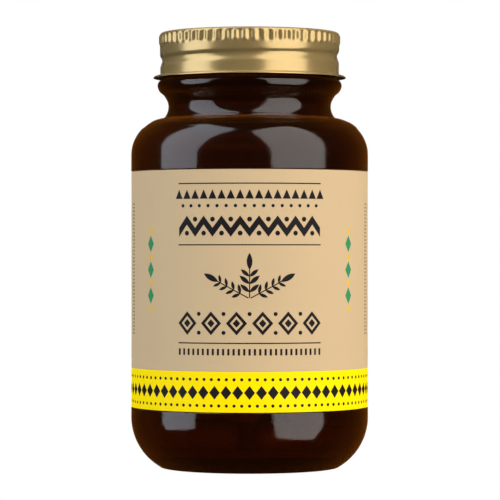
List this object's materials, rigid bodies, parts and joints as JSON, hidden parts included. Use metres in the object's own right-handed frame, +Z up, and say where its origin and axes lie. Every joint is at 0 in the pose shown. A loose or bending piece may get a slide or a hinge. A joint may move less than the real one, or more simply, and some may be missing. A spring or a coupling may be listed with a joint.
{
  "type": "capsule bottle",
  "caption": "Amber glass wide-mouth bottle with a gold metal screw cap, a foam liner and a wrap-round paper label, holding loose hard-shell capsules.",
  "frame": {"origin": "middle of the bottle's footprint, on the surface that it stands on", "axes": "+Z up along the bottle's axis, the label's middle faces -Y, +X to the right seen from the front"},
  "size_m": [0.06, 0.06, 0.1101],
  "materials": {
    "amber_glass": "gloss",
    "gold_metal": "satin",
    "liner_foam": "matte",
    "label_paper": "satin",
    "capsule_shell": "gloss"
  },
  "bodies": {
    "bottle_body": {"bottle": "amber_glass", "label": "label_paper", "capsule_01": "capsule_shell", "capsule_02": "capsule_shell", "capsule_03": "capsule_shell", "capsule_04": "capsule_shell", "capsule_05": "capsule_shell", "capsule_06": "capsule_shell", "capsule_07": "capsule_shell", "capsule_08": "capsule_shell", "capsule_09": "capsule_shell", "capsule_10": "capsule_shell", "capsule_11": "capsule_shell", "capsule_12": "capsule_shell", "capsule_13": "capsule_shell", "capsule_14": "capsule_shell", "capsule_15": "capsule_shell", "capsule_16": "capsule_shell", "capsule_17": "capsule_shell", "capsule_18": "capsule_shell", "capsule_19": "capsule_shell", "capsule_20": "capsule_shell", "capsule_21": "capsule_shell", "capsule_22": "capsule_shell", "capsule_23": "capsule_shell", "capsule_24": "capsule_shell", "capsule_25": "capsule_shell", "capsule_26": "capsule_shell", "capsule_27": "capsule_shell", "capsule_28": "capsule_shell", "capsule_29": "capsule_shell", "capsule_30": "capsule_shell", "capsule_31": "capsule_shell", "capsule_32": "capsule_shell", "capsule_33": "capsule_shell", "capsule_34": "capsule_shell", "capsule_35": "capsule_shell", "capsule_36": "capsule_shell", "capsule_37": "capsule_shell", "capsule_38": "capsule_shell", "capsule_39": "capsule_shell", "capsule_40": "capsule_shell", "capsule_41": "capsule_shell", "capsule_42": "capsule_shell", "capsule_43": "capsule_shell", "capsule_44": "capsule_shell", "capsule_45": "capsule_shell", "capsule_46": "capsule_shell", "capsule_47": "capsule_shell", "capsule_48": "capsule_shell", "capsule_49": "capsule_shell", "capsule_50": "capsule_shell"},
    "liner_body": {"cap_liner": "liner_foam"},
    "cap_body": {"cap_shell": "gold_metal"}
  },
  "joints": [
    {"name": "cap_rise", "type": "slide", "parent": "bottle_body", "child": "liner_body", "axis": [0, 0, 1], "range_m": [0, 0.0021]},
    {"name": "cap_turn", "type": "hinge", "parent": "liner_body", "child": "cap_body", "pos_m": [0, 0, 0.104], "axis": [0, 0, 1], "range_deg": [0, 315]}
  ],
  "couplings": [
    {"joint": "cap_rise", "follows": "cap_turn", "m_per_rad": 0.00038197}
  ]
}
